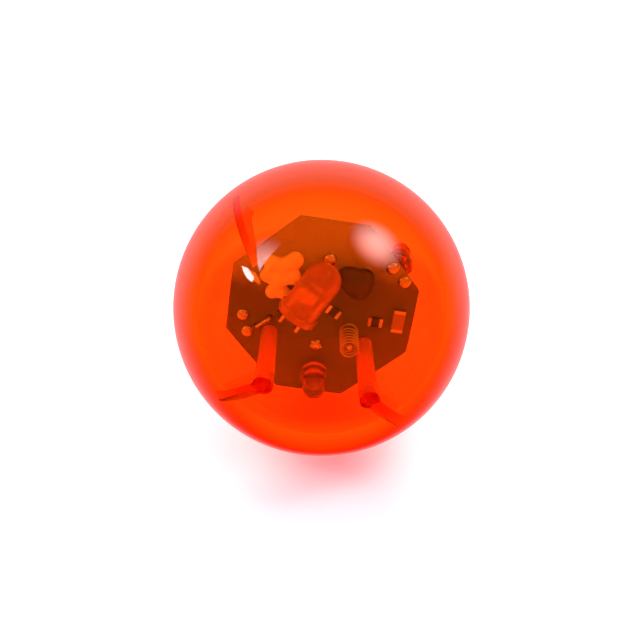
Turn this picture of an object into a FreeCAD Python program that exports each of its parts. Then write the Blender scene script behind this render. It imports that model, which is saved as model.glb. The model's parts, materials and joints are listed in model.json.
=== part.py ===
import FreeCAD
import Part
import math
import os

Vector = FreeCAD.Vector

# A light-up ball for cats, in millimetres: two welded clear half shells round a circuit board that
# blinks when a cat knocks the ball. It is drawn as on a bench, with the ball's axis along Z and the
# front half up. lie_down() then turns it to the way it lies on the floor: front half to -Y, +Z up.
# The origin is the middle of the ball, which is also the middle of the board.

# Half shells
ball_diameter = 40.0
wall = 3.0
tongue_length = 2.0
tongue_wall = 1.4
weld_gap = 0.05
roll_angle = 8.6

# Two pairs of posts hold the board between them. The rear ones have pins. Each front one has a gusset
# that runs out along the wall on a diagonal
post_spacing = 13.0
post_drop = 4.3
post_tip_diameter = 2.2
post_root_diameter = 2.5
pin_diameter = 1.0
pin_length = 3.5
pin_play = 0.05
bore_spare_depth = 0.5
gusset_thickness = 1.6
gusset_height = 3.0
gusset_reach = 6.6

# Rib on the front shell's wall, past the board's upper left edge to the tongue's end. It starts and ends
# at distances in from the wall's widest place
rib_azimuth = 135.0
rib_thickness = 1.0
rib_start_inset = 3.7
rib_end_inset = 1.4

# Eight-sided circuit board
board_across = 25.0
board_flat = 9.2
board_thickness = 1.2
hole_play = 0.1

# Light-emitting diodes, as (lens diameter, flange diameter, flange height, whole length)
small_lamp = (3.0, 3.8, 1.0, 5.3)
large_lamp = (5.0, 5.8, 1.0, 8.6)
lead_pitch = 2.54
lead_width = 0.45
lead_tail = 0.9
flange_flat = 0.12

# Where each lamp's two leads go through the board (x, y), and the way it leans, as an angle from +X. The
# rear lamps lean out until their noses are a gap away from the shell
front_lamp_place = (0.3, -9.0)
front_lamp_azimuth = 270.0
front_lamp_lean = 2.0
upper_lamp_place = (9.35, 6.5)
upper_lamp_azimuth = 47.0
upper_lamp_nose_gap = 2.3
side_lamp_place = (-9.95, -3.4)
side_lamp_azimuth = 200.0
side_lamp_nose_gap = 3.3
lying_lamp_place = (-4.3, -1.6)
lying_lamp_azimuth = 63.0
lying_lamp_lean = 90.0
knee_lift = 0.5
front_lamp_neck = 0.8
rear_lamp_neck = 1.0
lying_lamp_neck = 1.8

# Solder
solder_radius = 0.95
solder_height = 0.75
small_solder_radius = 0.62
small_solder_height = 0.6

# Motion switch: a spring that shakes against the pin inside it
switch_place = (4.1, -2.5)
spring_wire = 0.25
spring_wire_sides = 6
spring_outer_diameter = 2.6
spring_pitch = 0.8
spring_turns = 6
closed_turns = 2
closed_gap = 0.02
spring_root_gap = 0.25
switch_pin_diameter = 0.8
switch_pin_height = 5.2
tail_solder_radius = 0.45

# Parts on the board's front face
chip_blob_place = (3.8, 4.75)
chip_blob_radius = 2.45
chip_blob_height = 1.0
capacitor_place = (10.4, 0.2)
capacitor_size = (1.6, 3.2, 1.0)
resistor_places = ((1.6, 0.1, 63.0), (7.4, -0.6, 90.0))
resistor_size = (1.25, 2.0, 0.5)
end_cap_length = 0.45
jumper_start = (-6.7, -2.0)
jumper_end = (-8.45, -3.6)
jumper_wire_diameter = 0.5
jumper_lift = 0.6
jumper_bend = 0.5
glue_mounds = ((-6.3, 6.6, 2.7, 2.6), (-6.2, 3.2, 2.3, 2.2), (-4.3, 5.0, 2.0, 2.2))

# Two button cells in a shrunk sleeve, held behind the board by a strap clip
battery_place = (0.0, 1.1)
battery_lift = 1.7
cell_diameter = 11.6
cell_height = 5.4
cell_count = 2
can_wall = 0.25
can_lip = 0.8
cap_step = 0.3
cap_gap = 0.3
seal_wall = 0.25
cell_play = 0.05
sleeve_wall = 0.2
sleeve_play = 0.03
sleeve_lip = 0.7
clip_width = 4.0
clip_thickness = 0.3
clip_bend = 0.6
clip_play = 0.12
dimple_radius = 1.6
tab_width = 1.6
tab_tail = 0.7
contact_radius = 2.6
contact_bore_radius = 1.2
contact_thickness = 0.2
finger_width = 1.2
finger_foot = 1.4
finger_azimuths = (60.0, 180.0, 300.0)

# Worked out from the sizes above
outer_radius = ball_diameter / 2
inner_radius = outer_radius - wall
weld_depth = inner_radius + wall / 2
board_face = board_thickness / 2
lead_hole_radius = lead_width * math.sqrt(0.5) + hole_play
posts = [(side * post_spacing / 2, -post_drop) for side in (1, -1)]
knee_height = board_face + knee_lift
coil_radius = (spring_outer_diameter - spring_wire) / 2
closed_pitch = spring_wire + closed_gap
closed_start = board_face + closed_gap + spring_wire / 2
closed_end = closed_start + closed_turns * closed_pitch
spring_start = closed_end + spring_wire + spring_root_gap
cap_radius = cell_diameter / 2 - can_lip - cap_gap
battery_end = battery_lift + cell_count * cell_height
sleeve_inner = cell_diameter / 2 + sleeve_play
sleeve_outer = sleeve_inner + sleeve_wall
sleeve_end = battery_end + sleeve_play + sleeve_wall
clip_inner = sleeve_outer + clip_play
clip_leg = clip_inner + clip_thickness / 2


def rounded_wire(corners, to_space):
    """A closed wire through (u, v, radius) corners, with an arc where the radius isn't 0."""
    runs = []
    for i, (u, v, radius) in enumerate(corners):
        here = Vector(u, v, 0)
        before = Vector(corners[i - 1][0], corners[i - 1][1], 0)
        following = corners[(i + 1) % len(corners)]
        after = Vector(following[0], following[1], 0)
        if radius == 0:
            runs.append((here, None, here))
            continue
        back = (before - here).normalize()
        on = (after - here).normalize()
        half_turn = back.getAngle(on) / 2
        cut = radius / math.tan(half_turn)
        inward = (back + on).normalize()
        middle = here + inward * (radius / math.sin(half_turn) - radius)
        runs.append((here + back * cut, middle, here + on * cut))
    edges = []
    for i, (start, middle, end) in enumerate(runs):
        last = runs[i - 1][2]
        if last.distanceToPoint(start) > 1e-6:
            edges.append(Part.LineSegment(to_space(last), to_space(start)).toShape())
        if middle is not None:
            edges.append(Part.Arc(to_space(start), to_space(middle), to_space(end)).toShape())
    return Part.Wire(edges)


def upright(point):
    """Reads (u, v) as a distance from the Z axis and a height."""
    return Vector(point.x, 0, point.y)


def crosswise(point):
    """Reads (u, v) as a distance along Y and a height."""
    return Vector(0, point.x, point.y)


def flat(point):
    return Vector(point.x, point.y, 0)


def revolved(corners):
    face = Part.Face(rounded_wire(corners, upright))
    return face.revolve(Vector(0, 0, 0), Vector(0, 0, 1), 360)


def arc_on_circle(radius, start_degrees, end_degrees):
    """An arc about the origin in the XZ plane."""
    points = []
    for degrees in (start_degrees, (start_degrees + end_degrees) / 2, end_degrees):
        angle = math.radians(degrees)
        points.append(Vector(radius * math.cos(angle), 0, radius * math.sin(angle)))
    return Part.Arc(*points).toShape()


def line(start, end):
    return Part.LineSegment(Vector(start[0], 0, start[1]), Vector(end[0], 0, end[1])).toShape()


def dome(base_radius, height):
    """A part of a ball that stands on its flat side at Z 0."""
    curve_radius = (base_radius**2 + height**2) / (2 * height)
    centre = height - curve_radius
    half_angle = (math.asin(-centre / curve_radius) + math.pi / 2) / 2
    middle = Vector(curve_radius * math.cos(half_angle), 0, centre + curve_radius * math.sin(half_angle))
    arc = Part.Arc(Vector(base_radius, 0, 0), middle, Vector(0, 0, height)).toShape()
    edges = [line((0, 0), (base_radius, 0)), arc, line((0, height), (0, 0))]
    return Part.Face(Part.Wire(edges)).revolve(Vector(0, 0, 0), Vector(0, 0, 1), 360)


def moved(shape, x=0.0, y=0.0, z=0.0, turn=0.0):
    """The shape turned about Z, then moved."""
    placement = FreeCAD.Placement(Vector(x, y, z), FreeCAD.Rotation(Vector(0, 0, 1), turn))
    return shape.transformed(placement.toMatrix(), True)


def behind(shape):
    """Swings a shape drawn in front of the board to its rear side, with X turned round."""
    placement = FreeCAD.Placement(Vector(0, 0, 0), FreeCAD.Rotation(Vector(0, 1, 0), 180))
    return shape.transformed(placement.toMatrix(), True)


def height_on_wall(distance):
    """Height of the shells' inner surface at a distance from the ball's axis."""
    return math.sqrt(inner_radius**2 - distance**2)


def post(x, y):
    """A tapered post from the board's front face into the shell's wall."""
    height = inner_radius - board_face
    shape = Part.makeCone(post_tip_diameter / 2, post_root_diameter / 2, height)
    return moved(shape, x, y, board_face).common(Part.makeSphere(weld_depth))


def standing_web(corners, thickness, x, y, azimuth):
    """A thin plate from (u, v) corners, u out from a place and v up, cut off inside the wall."""
    web = Part.Face(rounded_wire(corners, upright)).extrude(Vector(0, thickness, 0))
    web = moved(moved(web, y=-thickness / 2), x, y, turn=azimuth)
    return web.common(Part.makeSphere(weld_depth))


def gusset(x, y):
    """A web from a post's root out along the wall, on the diagonal of the post's quarter."""
    heading = math.atan2(math.copysign(1, y), math.copysign(1, x))
    end_x = x + gusset_reach * math.cos(heading)
    end_y = y + gusset_reach * math.sin(heading)
    foot = height_on_wall(math.hypot(x, y)) - gusset_height
    run_out = height_on_wall(math.hypot(end_x, end_y))
    corners = [
        (0, foot, 0),
        (gusset_reach, run_out, 0),
        (gusset_reach + wall, run_out, 0),
        (gusset_reach + wall, outer_radius, 0),
        (0, outer_radius, 0),
    ]
    return standing_web(corners, gusset_thickness, x, y, math.degrees(heading))


def wall_rib():
    """A web that leaves the wall in front of the board and gets higher down to the tongue's end."""
    start = inner_radius - rib_start_inset
    end = inner_radius - rib_end_inset
    corners = [
        (start, height_on_wall(start), 0),
        (end, board_face, 0),
        (end, -tongue_length, 0),
        (inner_radius + tongue_wall / 2, -tongue_length, 0),
        (inner_radius + tongue_wall / 2, height_on_wall(start), 0),
    ]
    return standing_web(corners, rib_thickness, 0, 0, rib_azimuth)


def front_shell():
    """The half shell with the tongue, the bored posts and their gussets, and the rib."""
    tongue_outer = inner_radius + tongue_wall
    edges = [
        arc_on_circle(outer_radius, 0, 90),
        line((0, outer_radius), (0, inner_radius)),
        arc_on_circle(inner_radius, 90, 0),
        line((inner_radius, 0), (inner_radius, -tongue_length)),
        line((inner_radius, -tongue_length), (tongue_outer, -tongue_length)),
        line((tongue_outer, -tongue_length), (tongue_outer, 0)),
        line((tongue_outer, 0), (outer_radius, 0)),
    ]
    shell = Part.Face(Part.Wire(edges)).revolve(Vector(0, 0, 0), Vector(0, 0, 1), 360)
    shell = shell.fuse([post(x, y) for x, y in posts])
    shell = shell.fuse([gusset(x, y) for x, y in posts] + [wall_rib()])
    bore = Part.makeCylinder(pin_diameter / 2 + pin_play, pin_length + bore_spare_depth)
    return shell.cut([moved(bore, x, y, board_face) for x, y in posts]).removeSplitter()


def rear_shell():
    """The half shell with the groove for the tongue, and plain posts with a pin each."""
    groove_depth = tongue_length + weld_gap
    groove_radius = inner_radius + tongue_wall + weld_gap
    ledge_radius = height_on_wall(groove_depth)
    ledge_angle = math.degrees(math.asin(groove_depth / inner_radius))
    edges = [
        arc_on_circle(outer_radius, 90, 0),
        line((outer_radius, 0), (groove_radius, 0)),
        line((groove_radius, 0), (groove_radius, groove_depth)),
        line((groove_radius, groove_depth), (ledge_radius, groove_depth)),
        arc_on_circle(inner_radius, ledge_angle, 90),
        line((0, inner_radius), (0, outer_radius)),
    ]
    shell = Part.Face(Part.Wire(edges)).revolve(Vector(0, 0, 0), Vector(0, 0, 1), 360)
    pin_span = board_thickness + pin_length
    pin = Part.makeCylinder(pin_diameter / 2, pin_span + wall)
    places = [(-x, y) for x, y in posts]
    pins = [moved(pin, x, y, -board_face - pin_length) for x, y in places]
    shell = shell.fuse([post(x, y) for x, y in places] + pins)
    return behind(shell.removeSplitter())


def circuit_board():
    """An eight-sided board with a hole for each pin, lead and tab."""
    half = board_across / 2
    flat_half = board_flat / 2
    corners = [
        (half, -flat_half, 0),
        (half, flat_half, 0),
        (flat_half, half, 0),
        (-flat_half, half, 0),
        (-half, flat_half, 0),
        (-half, -flat_half, 0),
        (-flat_half, -half, 0),
        (flat_half, -half, 0),
    ]
    board = Part.Face(rounded_wire(corners, flat)).extrude(Vector(0, 0, board_thickness))
    holes = [(x, y, pin_diameter / 2 + hole_play) for x, y in posts]
    for place, azimuth in (
        (front_lamp_place, front_lamp_azimuth),
        (upper_lamp_place, upper_lamp_azimuth),
        (side_lamp_place, side_lamp_azimuth),
        (lying_lamp_place, lying_lamp_azimuth),
    ):
        holes += [(x, y, lead_hole_radius) for x, y in lead_places(place, azimuth)]
    for x, y in (jumper_start, jumper_end):
        holes.append((x, y, jumper_wire_diameter / 2 + hole_play))
    holes.append((switch_place[0], switch_place[1], switch_pin_diameter / 2 + hole_play))
    holes.append((switch_place[0] + coil_radius, switch_place[1], spring_wire / 2 + hole_play))
    cutters = [moved(Part.makeCylinder(radius, board_thickness), x, y) for x, y, radius in holes]
    slot_x = tab_width + 2 * hole_play
    slot_y = clip_thickness + 2 * hole_play
    slot = Part.makeBox(slot_x, slot_y, board_thickness)
    for x, y in tab_places():
        cutters.append(moved(slot, x - slot_x / 2, y - slot_y / 2))
    return moved(board.cut(cutters), z=-board_face)


def lead_places(place, azimuth):
    """Where a lamp's two leads go through the board, either side of its place."""
    across = math.radians(azimuth - 90)
    half = lead_pitch / 2
    return [
        (place[0] + side * half * math.cos(across), place[1] + side * half * math.sin(across))
        for side in (-1, 1)
    ]


def tab_places():
    return [(battery_place[0], battery_place[1] + side * clip_leg) for side in (1, -1)]


def lamp_head(shape, knee, neck, lean):
    """Puts a shape drawn with the lens's underside at Z 0 on its leads, leaning to +Y at the knee."""
    tilt = FreeCAD.Placement(Vector(0, 0, knee), FreeCAD.Rotation(Vector(1, 0, 0), -lean))
    return moved(shape, z=neck).transformed(tilt.toMatrix(), True)


def lead_blades(lens, neck):
    """The two flat leads inside and just below the lens, in shares of its diameter: the cup's, the wire's."""
    inner = lead_pitch / 2 - lead_width / 2
    outer = lead_pitch / 2 + lead_width / 2
    bend = 0.25 * lens
    cup_side = [
        (-outer, -neck, 0),
        (-inner, -neck, 0),
        (-inner, bend, 0),
        (-0.15 * lens, 0.43 * lens, 0),
        (0.12 * lens, 0.57 * lens, 0),
        (0.12 * lens, 0.87 * lens, 0),
        (-0.17 * lens, 0.87 * lens, 0),
        (-0.38 * lens, 0.67 * lens, 0),
        (-0.38 * lens, 0.35 * lens, 0),
        (-outer, bend, 0),
    ]
    wire_side = [
        (inner, -neck, 0),
        (outer, -neck, 0),
        (outer, bend, 0),
        (0.38 * lens, 0.35 * lens, 0),
        (0.38 * lens, 0.73 * lens, 0),
        (0.32 * lens, 0.82 * lens, 0),
        (0.2 * lens, 0.82 * lens, 0),
        (0.2 * lens, 0.6 * lens, 0),
        (inner, bend, 0),
    ]
    blades = []
    for corners in (cup_side, wire_side):
        blade = Part.Face(rounded_wire(corners, upright)).extrude(Vector(0, lead_width, 0))
        blades.append(moved(blade, y=-lead_width / 2))
    cup = Part.makeCone(0.12 * lens, 0.2 * lens, 0.17 * lens)
    hollow = Part.makeCone(0.07 * lens, 0.17 * lens, 0.14 * lens)
    cup = moved(cup.cut(moved(hollow, z=0.03 * lens)), z=0.87 * lens)
    blades[0] = blades[0].fuse(cup)
    return blades


def nose_lean(place, nose_gap):
    """How far a rear lamp leans out, in degrees, for its nose to end a gap away from the shell."""
    distance = math.hypot(place[0], place[1])
    arm = rear_lamp_neck + small_lamp[3]
    reach = inner_radius - nose_gap
    knee_distance = math.hypot(distance, knee_height)
    sine = (reach**2 - knee_distance**2 - arm**2) / (2 * arm * knee_distance)
    return math.degrees(math.asin(sine) - math.atan2(knee_height, distance))


def lamp_leads(lamp, knee, neck, lean):
    """Both leads, from the blades in the lens through a bend and the board to their cut ends."""
    leads = []
    for side, blade in zip((-1, 1), lead_blades(lamp[0], neck)):
        x = side * lead_pitch / 2 - lead_width / 2
        bottom = -board_face - lead_tail
        shank = Part.makeBox(lead_width, lead_width, knee - bottom)
        shank = moved(shank, x, -lead_width / 2, bottom)
        bend = Part.makeCylinder(lead_width / 2, lead_width, Vector(x, 0, knee), Vector(1, 0, 0))
        lead = lamp_head(blade, knee, neck, lean).fuse([bend, shank])
        leads.append(lead.removeSplitter())
    return leads


def lamp_lens(lamp, leads, knee, neck, lean):
    """The clear lens: a flange with a flat at the cup's side, a barrel and a round nose."""
    diameter, flange, flange_height, length = lamp
    radius = diameter / 2
    lens = revolved([
        (0, 0, 0),
        (flange / 2, 0, 0),
        (flange / 2, flange_height, 0),
        (radius, flange_height, 0),
        (radius, length - radius, 0),
        (0, length - radius, 0),
    ])
    lens = lens.fuse(moved(dome(radius, radius), z=length - radius))
    flat_cut = Part.makeBox(flange, flange, flange_height)
    lens = lens.cut(moved(flat_cut, -radius - flange_flat - flange, -flange / 2))
    lens = lamp_head(lens.removeSplitter(), knee, neck, lean)
    return lens.cut(leads)


def lamp_set(lamp, place, azimuth, knee, neck, lean, rear=False):
    """The lens, the leads and the solder of one lamp, on the front or the rear of the board."""
    leads = lamp_leads(lamp, knee, neck, lean)
    lens = lamp_lens(lamp, leads, knee, neck, lean)
    bead = moved(behind(dome(solder_radius, solder_height)), z=-board_face)
    beads = [
        moved(bead, side * lead_pitch / 2).cut(leads)
        for side in (-1, 1)
    ]
    shapes = []
    for shape in (lens, Part.makeCompound(leads), Part.makeCompound(beads)):
        shape = behind(shape) if rear else shape
        shapes.append(moved(shape, place[0], place[1], turn=azimuth - 90))
    return shapes


def coil(pitch, turns, start):
    """A fine wire wound up the Z axis. Its section has a few sides, so that it stays light."""
    path = Part.makeHelix(pitch, turns * pitch, coil_radius)
    corners = []
    for i in range(spring_wire_sides + 1):
        angle = math.tau * i / spring_wire_sides
        along = coil_radius + spring_wire / 2 * math.cos(angle)
        corners.append(Vector(along, 0, spring_wire / 2 * math.sin(angle)))
    wound = Part.Wire(path).makePipeShell([Part.makePolygon(corners)], True, True)
    return moved(wound, switch_place[0], switch_place[1], start)


def motion_spring():
    """The open coils, free to shake."""
    return coil(spring_pitch, spring_turns, spring_start)


def spring_base():
    """The closed coils at the spring's root, with the tail that goes through the board."""
    tail_bottom = -board_face - lead_tail
    tail = Part.makeCylinder(spring_wire / 2, closed_start - tail_bottom)
    tail = moved(tail, switch_place[0] + coil_radius, switch_place[1], tail_bottom)
    return coil(closed_pitch, closed_turns, closed_start).fuse(tail)


def switch_pin():
    bottom = -board_face - lead_tail
    height = board_face + switch_pin_height - bottom
    tip = switch_pin_diameter / 4
    pin = revolved([
        (0, 0, 0),
        (switch_pin_diameter / 2, 0, 0),
        (switch_pin_diameter / 2, height, tip),
        (0, height, 0),
    ])
    return moved(pin, switch_place[0], switch_place[1], bottom)


def switch_solder(pin, base):
    """Beads of solder on the rear face round the pin and the spring's tail."""
    x, y = switch_place
    pin_bead = behind(dome(small_solder_radius, small_solder_height))
    pin_bead = moved(pin_bead, x, y, -board_face)
    tail_bead = behind(dome(tail_solder_radius, tail_solder_radius))
    tail_bead = moved(tail_bead, x + coil_radius, y, -board_face)
    return Part.makeCompound([pin_bead.cut(pin), tail_bead.cut(base)])


def chip_blob():
    """The drop of black resin over the bare controller chip."""
    blob = dome(chip_blob_radius, chip_blob_height)
    return moved(blob, chip_blob_place[0], chip_blob_place[1], board_face)


def chip_body(size):
    width, length, height = size
    ceramic = Part.makeBox(width, length - 2 * end_cap_length, height)
    return moved(ceramic, -width / 2, -length / 2 + end_cap_length)


def chip_ends(size):
    """The two tinned end caps of a chip part."""
    width, length, height = size
    cap = Part.makeBox(width, end_cap_length, height)
    near = moved(cap, -width / 2, -length / 2)
    return [near, moved(cap, -width / 2, length / 2 - end_cap_length)]


def chip_parts():
    """The capacitor's body, the resistors' bodies and the end caps of all three."""
    x, y = capacitor_place
    capacitor = moved(chip_body(capacitor_size), x, y, board_face)
    ends = [moved(end, x, y, board_face) for end in chip_ends(capacitor_size)]
    resistors = []
    for x, y, turn in resistor_places:
        resistors.append(moved(chip_body(resistor_size), x, y, board_face, turn))
        ends += [moved(end, x, y, board_face, turn) for end in chip_ends(resistor_size)]
    return capacitor, Part.makeCompound(resistors), Part.makeCompound(ends)


def jumper_wire():
    """A bare tinned wire that hops over the board's traces."""
    bottom = -board_face - lead_tail
    span = math.hypot(jumper_end[0] - jumper_start[0], jumper_end[1] - jumper_start[1])
    top = board_face + jumper_lift
    half = jumper_wire_diameter / 2
    legs = []
    for x in (0, span):
        legs.append(moved(Part.makeCylinder(half, top - jumper_bend - bottom), x, 0, bottom))
    bridge = Part.makeCylinder(half, span - 2 * jumper_bend, Vector(jumper_bend, 0, top), Vector(1, 0, 0))
    elbow = Part.makeTorus(jumper_bend, half, Vector(0, 0, 0), Vector(0, 1, 0), 0, 360, 90)
    corners = []
    for x, turn in ((jumper_bend, 180), (span - jumper_bend, 0)):
        corners.append(moved(elbow, x, 0, top - jumper_bend, turn))
    wire = legs[0].fuse([corners[0], bridge, corners[1], legs[1]]).removeSplitter()
    heading = math.atan2(jumper_end[1] - jumper_start[1], jumper_end[0] - jumper_start[0])
    return moved(wire, jumper_start[0], jumper_start[1], turn=math.degrees(heading))


def jumper_solder(wire):
    bead = behind(dome(small_solder_radius, small_solder_height))
    places = (jumper_start, jumper_end)
    return Part.makeCompound([moved(bead, x, y, -board_face).cut(wire) for x, y in places])


def glue_bead(lens):
    """Hot-melt glue that ties the lying lamp to the board."""
    mounds = [moved(dome(radius, height), x, y, board_face) for x, y, radius, height in glue_mounds]
    return mounds[0].fuse(mounds[1:]).removeSplitter().cut(lens)


def cell_can():
    """The cell's steel can, open to the board, with its rim crimped inward. Cap end at Z 0."""
    radius = cell_diameter / 2
    bore = radius - can_wall
    return revolved([
        (0, cell_height, 0),
        (radius, cell_height, can_wall * 1.5),
        (radius, cap_step, 0),
        (radius - can_lip, cap_step, 0),
        (radius - can_lip, cap_step + can_wall, 0),
        (bore, cap_step + can_wall, 0),
        (bore, cell_height - can_wall, 0),
        (0, cell_height - can_wall, 0),
    ])


def cell_seal():
    """The nylon ring that keeps the cap apart from the can."""
    outside = cell_diameter / 2 - can_wall - cell_play
    neck = cap_radius + cell_play
    shoulder = cap_step + can_wall + cell_play
    bottom = cell_height - can_wall - cell_play
    return revolved([
        (neck, cap_step / 2, 0),
        (cell_diameter / 2 - can_lip - cell_play, cap_step / 2, 0),
        (cell_diameter / 2 - can_lip - cell_play, shoulder, 0),
        (outside, shoulder, 0),
        (outside, bottom, 0),
        (outside - seal_wall, bottom, 0),
        (outside - seal_wall, shoulder + seal_wall, 0),
        (neck, shoulder + seal_wall, 0),
    ])


def cell_cap():
    """The cell's cap, with the zinc under it."""
    body = cell_diameter / 2 - can_wall - seal_wall - 2 * cell_play
    shoulder = cap_step + can_wall + seal_wall + 2 * cell_play
    return revolved([
        (0, 0, 0),
        (cap_radius, 0, cap_step),
        (cap_radius, shoulder, 0),
        (body, shoulder, 0),
        (body, cell_height - can_wall - cell_play, 0),
        (0, cell_height - can_wall - cell_play, 0),
    ])


def behind_board(shape, lift=0.0):
    """Hangs a battery piece behind the board at the battery's place."""
    return moved(behind(moved(shape, z=lift)), battery_place[0], battery_place[1])


def battery_sleeve():
    """A shrunk sleeve round both cells, turned in over their edges."""
    start = battery_lift + cap_step - sleeve_play - sleeve_wall
    lip = sleeve_inner - sleeve_lip
    sleeve = revolved([
        (lip, start, 0),
        (sleeve_outer, start, 0),
        (sleeve_outer, sleeve_end, sleeve_wall),
        (lip, sleeve_end, 0),
        (lip, sleeve_end - sleeve_wall, 0),
        (sleeve_inner, sleeve_end - sleeve_wall, 0),
        (sleeve_inner, start + sleeve_wall, 0),
        (lip, start + sleeve_wall, 0),
    ])
    return behind_board(sleeve)


def battery_clip():
    """A bent steel strap over the cells, with a dimple for the upper cell and a tab on each leg."""
    outside = clip_inner + clip_thickness
    top = sleeve_end + clip_play
    corners = [
        (-outside, board_face, 0),
        (-outside, top + clip_thickness, clip_bend + clip_thickness),
        (outside, top + clip_thickness, clip_bend + clip_thickness),
        (outside, board_face, 0),
        (clip_inner, board_face, 0),
        (clip_inner, top, clip_bend),
        (-clip_inner, top, clip_bend),
        (-clip_inner, board_face, 0),
    ]
    strap = Part.Face(rounded_wire(corners, crosswise)).extrude(Vector(clip_width, 0, 0))
    strap = moved(strap, x=-clip_width / 2)
    dimple = moved(behind(dome(dimple_radius, top - battery_end)), z=top)
    tab = Part.makeBox(tab_width, clip_thickness, board_thickness + tab_tail)
    bottom = board_face - board_thickness - tab_tail
    tabs = [
        moved(tab, -tab_width / 2, side * clip_leg - clip_thickness / 2, bottom)
        for side in (1, -1)
    ]
    return behind_board(strap.fuse([dimple] + tabs).removeSplitter())


def clip_solder(clip):
    bead = dome(solder_radius, solder_height)
    return Part.makeCompound([moved(bead, x, y, board_face).cut(clip) for x, y in tab_places()])


def battery_contact():
    """A flat ring on the board's rear face, with three fingers sprung up to the lower cell's cap."""
    ring = Part.makeCylinder(contact_radius, contact_thickness)
    ring = ring.cut(Part.makeCylinder(contact_bore_radius, contact_thickness))
    rise = battery_lift - board_face
    start = contact_radius - contact_thickness
    corners = [
        (start - contact_thickness, 0, 0),
        (start, 0, 0),
        (start + rise - contact_thickness, rise - contact_thickness, 0),
        (start + rise - contact_thickness + finger_foot - finger_width, rise - contact_thickness, 0),
        (start + rise - contact_thickness + finger_foot - finger_width, rise, 0),
        (start + rise - 2 * contact_thickness, rise, 0),
        (start - contact_thickness, contact_thickness, 0),
    ]
    finger = Part.Face(rounded_wire(corners, upright)).extrude(Vector(0, finger_width, 0))
    finger = moved(finger, y=-finger_width / 2)
    fingers = [moved(finger, turn=azimuth) for azimuth in finger_azimuths]
    return behind_board(ring.fuse(fingers).removeSplitter(), board_face)


def lie_down(shape):
    """Turns the ball from the bench to the way it lies: rolled a little, front half to -Y."""
    roll = FreeCAD.Rotation(Vector(0, 0, 1), -roll_angle)
    tip_forward = FreeCAD.Rotation(Vector(1, 0, 0), 90)
    placement = FreeCAD.Placement(Vector(0, 0, 0), tip_forward.multiply(roll))
    return shape.transformed(placement.toMatrix(), True)


def ball_nodes():
    """Every piece by the name of its node."""
    nodes = {
        "front_shell": front_shell(),
        "rear_shell": rear_shell(),
        "circuit_board": circuit_board(),
    }
    lying_knee = board_face + large_lamp[1] / 2 + cell_play
    lamps = {
        "front_led": (small_lamp, front_lamp_place, front_lamp_azimuth, knee_height,
                      front_lamp_neck, front_lamp_lean, False),
        "upper_led": (small_lamp, upper_lamp_place, upper_lamp_azimuth, knee_height,
                      rear_lamp_neck, nose_lean(upper_lamp_place, upper_lamp_nose_gap), True),
        "side_led": (small_lamp, side_lamp_place, side_lamp_azimuth, knee_height,
                     rear_lamp_neck, nose_lean(side_lamp_place, side_lamp_nose_gap), True),
        "lying_led": (large_lamp, lying_lamp_place, lying_lamp_azimuth, lying_knee,
                      lying_lamp_neck, lying_lamp_lean, False),
    }
    for name, values in lamps.items():
        lens, leads, beads = lamp_set(*values)
        nodes[name + "_lens"] = lens
        nodes[name + "_leads"] = leads
        nodes[name + "_solder"] = beads
    nodes["glue_bead"] = glue_bead(nodes["lying_led_lens"])
    nodes["motion_spring"] = motion_spring()
    nodes["spring_base"] = spring_base()
    nodes["switch_pin"] = switch_pin()
    nodes["switch_solder"] = switch_solder(nodes["switch_pin"], nodes["spring_base"])
    nodes["chip_blob"] = chip_blob()
    capacitor, resistors, ends = chip_parts()
    nodes["chip_capacitor"] = capacitor
    nodes["chip_resistors"] = resistors
    nodes["chip_end_caps"] = ends
    nodes["jumper_wire"] = jumper_wire()
    nodes["jumper_solder"] = jumper_solder(nodes["jumper_wire"])
    nodes["battery_contact"] = battery_contact()
    for name, lift in (("near_cell", battery_lift), ("far_cell", battery_lift + cell_height)):
        nodes[name + "_can"] = behind_board(cell_can(), lift)
        nodes[name + "_seal"] = behind_board(cell_seal(), lift)
        nodes[name + "_cap"] = behind_board(cell_cap(), lift)
    nodes["battery_sleeve"] = battery_sleeve()
    nodes["battery_clip"] = battery_clip()
    nodes["clip_solder"] = clip_solder(nodes["battery_clip"])
    return nodes


os.makedirs("parts", exist_ok=True)
for node_name, node_shape in ball_nodes().items():
    lie_down(node_shape).exportStep("parts/" + node_name + ".step")
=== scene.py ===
import json
import math

import bmesh
import bpy
from mathutils import Matrix, Vector

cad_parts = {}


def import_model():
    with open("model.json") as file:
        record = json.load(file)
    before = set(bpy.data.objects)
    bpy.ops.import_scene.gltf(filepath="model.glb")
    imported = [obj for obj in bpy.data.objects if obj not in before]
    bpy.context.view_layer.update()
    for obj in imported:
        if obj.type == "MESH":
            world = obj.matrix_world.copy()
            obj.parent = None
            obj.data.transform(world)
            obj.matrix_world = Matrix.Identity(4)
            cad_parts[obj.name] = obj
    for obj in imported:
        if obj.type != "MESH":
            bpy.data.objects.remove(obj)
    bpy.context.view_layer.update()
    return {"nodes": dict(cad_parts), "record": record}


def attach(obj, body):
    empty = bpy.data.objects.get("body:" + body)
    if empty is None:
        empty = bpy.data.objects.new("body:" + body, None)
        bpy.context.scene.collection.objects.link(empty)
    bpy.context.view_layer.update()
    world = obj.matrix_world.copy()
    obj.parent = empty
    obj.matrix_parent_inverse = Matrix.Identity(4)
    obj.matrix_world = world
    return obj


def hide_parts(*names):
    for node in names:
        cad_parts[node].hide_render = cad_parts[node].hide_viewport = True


# A clear orange ball for cats, with a circuit board inside that blinks when the ball is knocked.
# Pieces are drawn on the bench in millimetres, with the ball's axis along Z and the front half up.
# lie_down() then turns them to the way the ball lies on the floor and makes them metres.

# Lengths below are in millimetres unless a comment says otherwise
MM = 0.001
ROLL = math.radians(8.6)

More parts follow.
